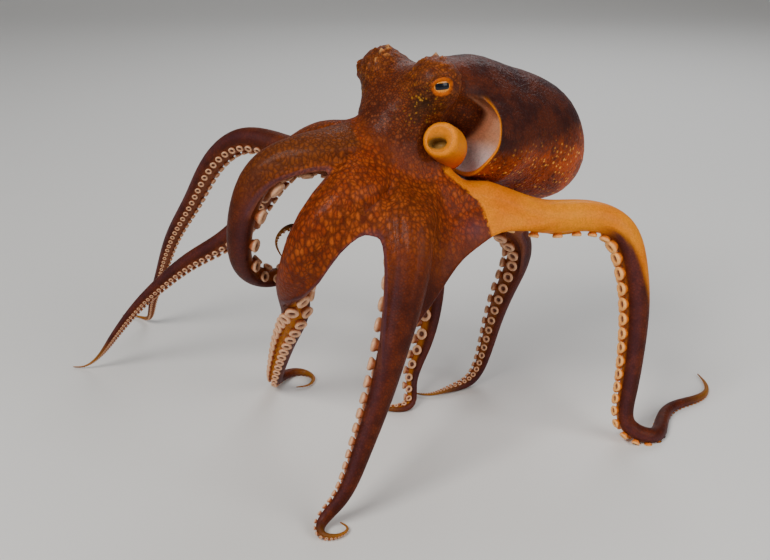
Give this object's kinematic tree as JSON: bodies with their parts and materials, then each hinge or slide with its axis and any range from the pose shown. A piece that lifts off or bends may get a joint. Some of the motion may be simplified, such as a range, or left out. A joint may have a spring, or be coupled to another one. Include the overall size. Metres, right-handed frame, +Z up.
{
  "type": "octopus",
  "caption": "Still life-size octopus walking on its arm tips: round mantle with open edge and funnel, raised eyes, webbed arms with suckers.",
  "frame": {"origin": "on the floor, below the middle of the whole animal's box", "axes": "+Z up; +X to the viewer's right, the way the longest reach of the arms runs; +Y away from the viewer, towards the mantle's side"},
  "size_m": [0.3064, 0.2051, 0.1628],
  "materials": {
    "head": "moist warty skin, semi-gloss",
    "mantle": "moist skin, semi-gloss",
    "arm": "moist skin, semi-gloss",
    "web": "moist skin, semi-gloss",
    "orange": "moist bare skin, semi-gloss",
    "eye": "wet and glossy"
  },
  "bodies": {
    "root": {"head": "head", "mantle": "mantle", "eye_left": "eye", "eye_right": "eye", "funnel": "orange", "arm_left_1_base": "arm", "arm_left_1_middle": "arm", "arm_left_1_tip": "arm", "arm_left_2_base": "arm", "arm_left_2_middle": "arm", "arm_left_2_tip": "arm", "arm_left_3_base": "arm", "arm_left_3_middle": "arm", "arm_left_3_tip": "arm", "arm_left_4_base": "orange", "arm_left_4_middle": "arm", "arm_left_4_tip": "arm", "arm_right_4_base": "arm", "arm_right_4_middle": "arm", "arm_right_4_tip": "arm", "arm_right_3_base": "arm", "arm_right_3_middle": "arm", "arm_right_3_tip": "arm", "arm_right_2_base": "arm", "arm_right_2_middle": "arm", "arm_right_2_tip": "arm", "arm_right_1_base": "arm", "arm_right_1_middle": "arm", "arm_right_1_tip": "arm", "web_left_1_2": "web", "web_left_2_3": "web", "web_left_3_4": "web", "web_ventral": "orange", "web_right_4_3": "web", "web_right_3_2": "web", "web_right_2_1": "web", "web_dorsal": "web"}
  },
  "joints": []
}
